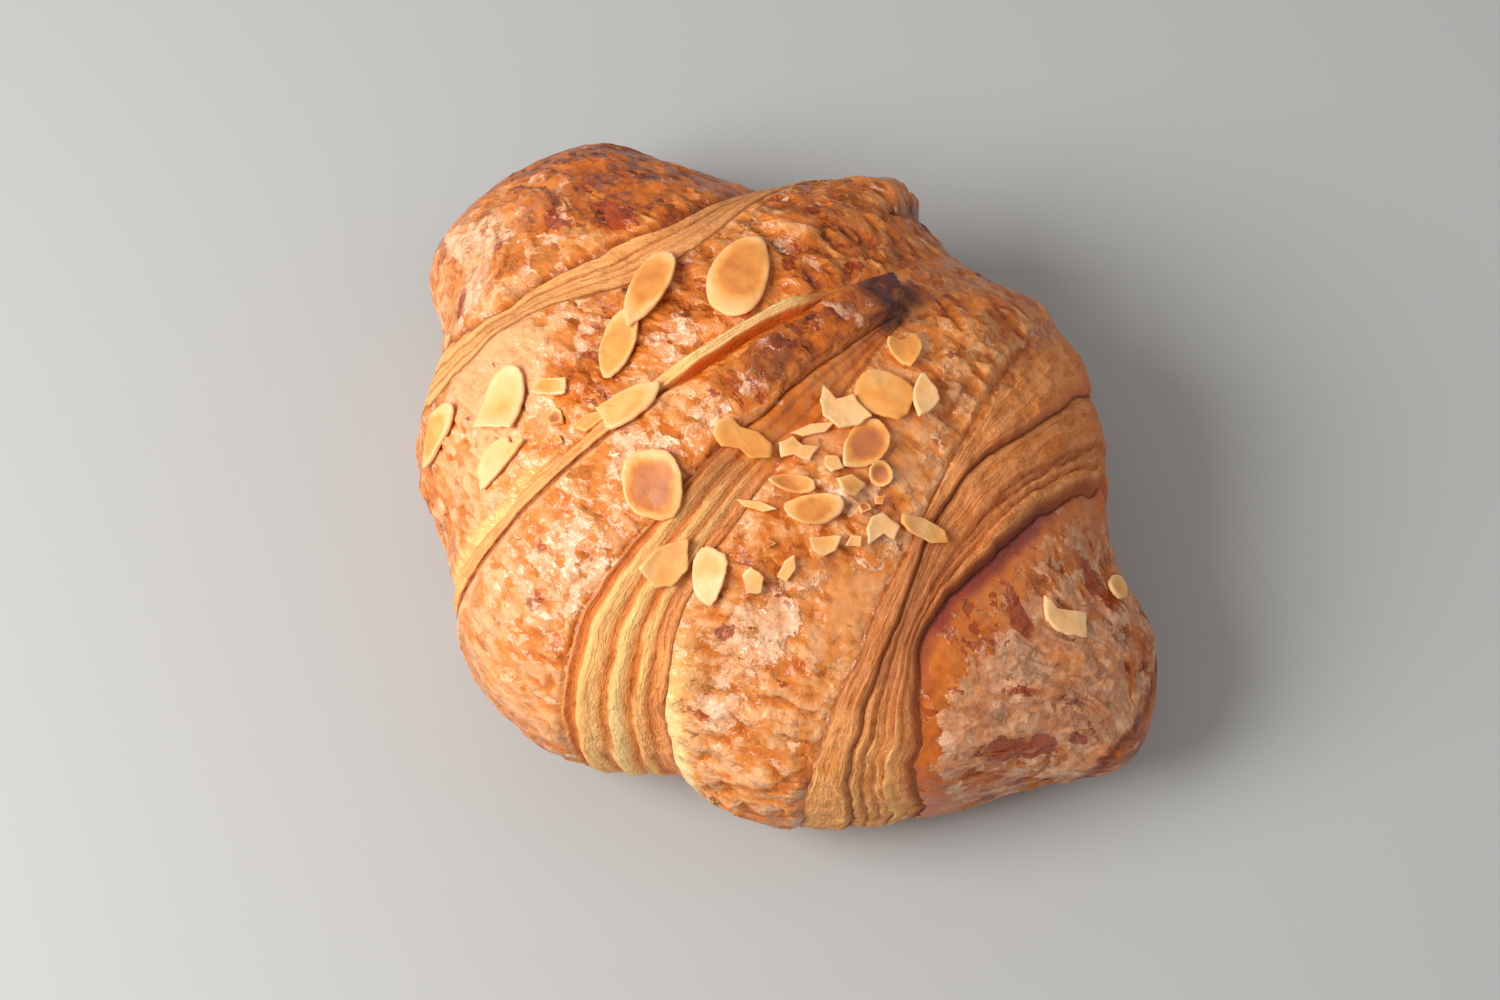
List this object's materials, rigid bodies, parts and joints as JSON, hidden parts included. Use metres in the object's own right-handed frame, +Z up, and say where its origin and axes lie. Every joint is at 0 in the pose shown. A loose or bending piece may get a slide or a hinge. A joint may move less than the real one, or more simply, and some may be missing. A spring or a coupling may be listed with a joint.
{
  "type": "almond croissant",
  "caption": "Baked croissant with stepped, flaky layers and a glazed crust, topped with toasted sliced almonds.",
  "frame": {"origin": "on the table under the middle of the croissant's bounding box", "axes": "+X along the roll towards the narrower end lobe, +Y across towards the side the flap's tip is on, +Z up"},
  "size_m": [0.158, 0.1176, 0.0663],
  "materials": {
    "crust": "egg-glazed baked crust, glossy on the skins and dull on the cut layers",
    "almond": "toasted almond, satin"
  },
  "bodies": {
    "root": {"pastry_body": "crust", "almond_slice_1": "almond", "almond_slice_2": "almond", "almond_slice_3": "almond", "almond_slice_4": "almond", "almond_slice_5": "almond", "almond_slice_6": "almond", "almond_slice_7": "almond", "almond_half_1": "almond", "almond_half_2": "almond", "almond_half_3": "almond", "almond_half_4": "almond", "almond_half_5": "almond", "almond_half_6": "almond", "almond_piece_1": "almond", "almond_piece_2": "almond", "almond_piece_3": "almond", "almond_piece_4": "almond", "almond_piece_5": "almond", "almond_piece_6": "almond", "almond_piece_7": "almond", "almond_piece_8": "almond", "almond_piece_9": "almond", "almond_piece_10": "almond", "almond_piece_11": "almond", "almond_piece_12": "almond", "almond_piece_13": "almond", "almond_piece_14": "almond", "almond_piece_15": "almond", "almond_piece_16": "almond", "almond_piece_17": "almond", "almond_piece_18": "almond", "almond_piece_19": "almond", "almond_piece_20": "almond", "almond_piece_21": "almond", "almond_piece_22": "almond", "almond_crumb_1": "almond", "almond_crumb_2": "almond", "almond_crumb_3": "almond", "almond_crumb_4": "almond"}
  },
  "joints": []
}
